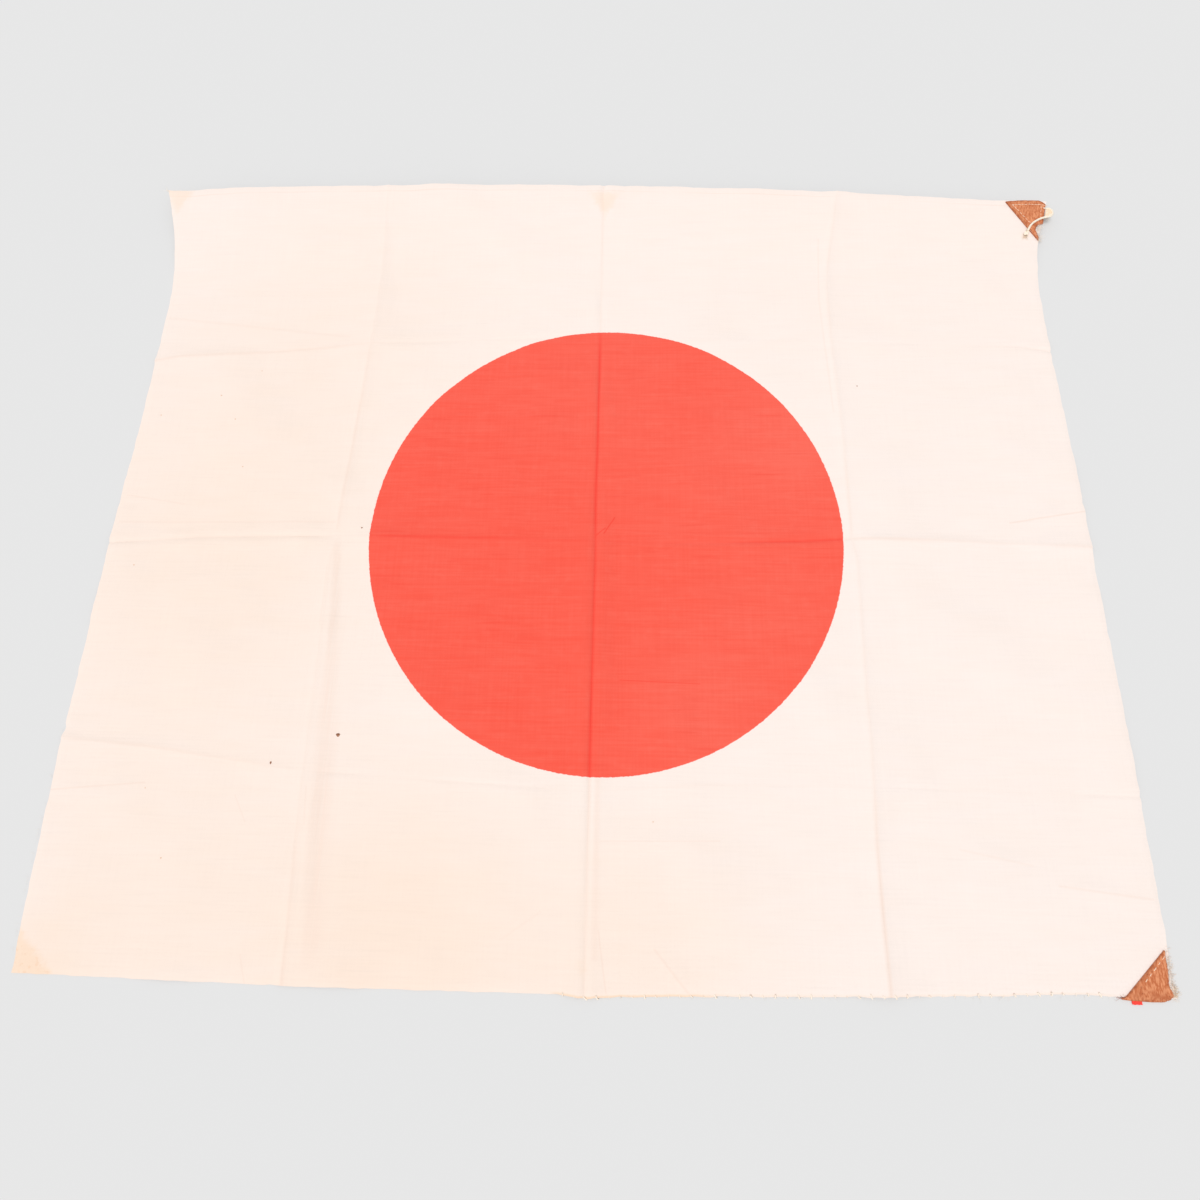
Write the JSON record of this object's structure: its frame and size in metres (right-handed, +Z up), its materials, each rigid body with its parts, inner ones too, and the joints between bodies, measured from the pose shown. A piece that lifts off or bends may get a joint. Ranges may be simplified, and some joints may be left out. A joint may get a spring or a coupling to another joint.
{
  "type": "worn cloth flag",
  "caption": "Worn white cotton flag with a plain red disc, opened out flat with storage creases, leather corner patches and the rest of a tie cord.",
  "frame": {"origin": "on the surface that the flag lies on, under the middle of its box", "axes": "+X along the flag's long side towards the leather patches, +Y towards the edge far from the viewer, +Z up"},
  "size_m": [0.8804, 0.7248, 0.013],
  "materials": {
    "cotton": "matt plain weave",
    "leather": "dry worn grain",
    "tie_cotton": "matt twisted cord",
    "knot_cotton": "frayed and dirty"
  },
  "bodies": {
    "root": {"flag_cloth": "cotton", "far_corner_patch": "leather", "near_corner_patch": "leather", "tie_cord": "tie_cotton", "tie_knot": "knot_cotton"}
  },
  "joints": []
}
